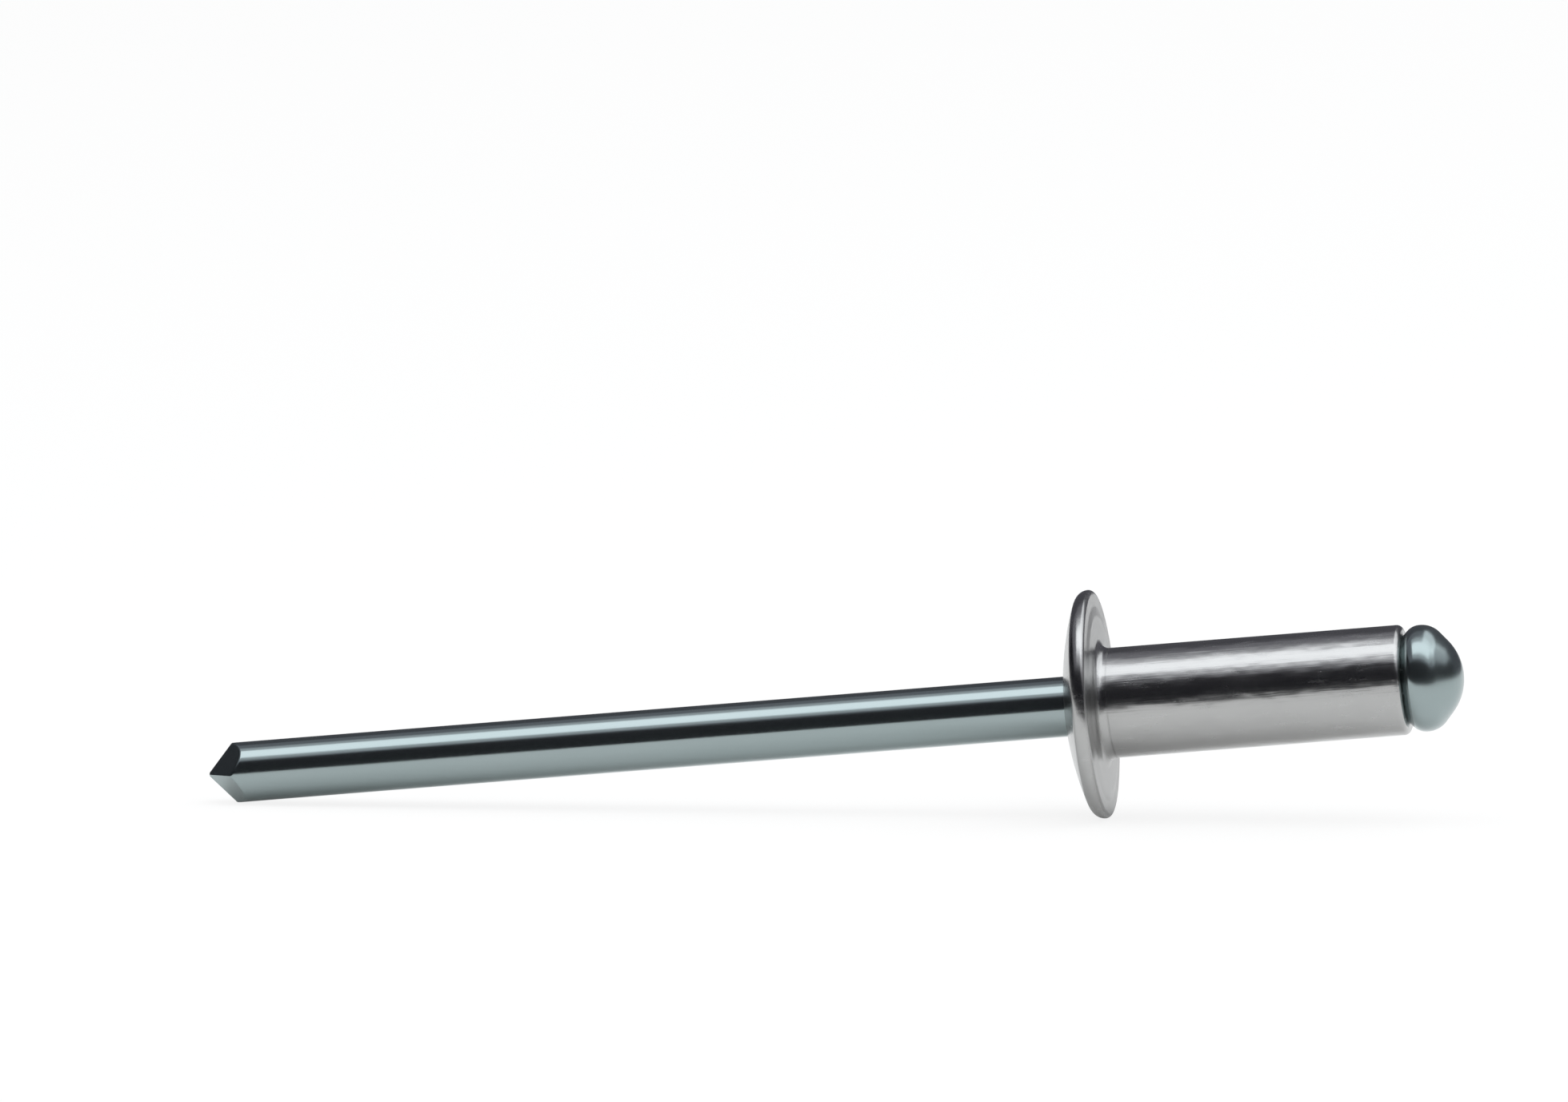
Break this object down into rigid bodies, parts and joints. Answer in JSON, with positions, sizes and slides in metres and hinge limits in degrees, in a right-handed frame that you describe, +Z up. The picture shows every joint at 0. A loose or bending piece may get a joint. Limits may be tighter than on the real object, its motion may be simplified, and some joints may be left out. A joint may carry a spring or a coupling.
{
  "type": "blind rivet",
  "caption": "Open-end blind rivet, not yet set: a domed flange and hollow shank on a headed pulling mandrel with a pinched point.",
  "frame": {"origin": "centre of the overall box, on the surface that the rivet lies on", "axes": "+X from the mandrel's point towards its head, +Z up; the rivet's own axis rises 5.5 degrees from +X towards +Z, as it comes to rest"},
  "size_m": [0.0368, 0.0066, 0.0066],
  "materials": {
    "sleeve": "plain aluminium, cold-formed and tumbled, satin with fine scuffs",
    "mandrel": "drawn steel wire, bright zinc plate with a faint blue-green cast"
  },
  "bodies": {
    "root": {"rivet_body": "sleeve", "mandrel": "mandrel"}
  },
  "joints": []
}
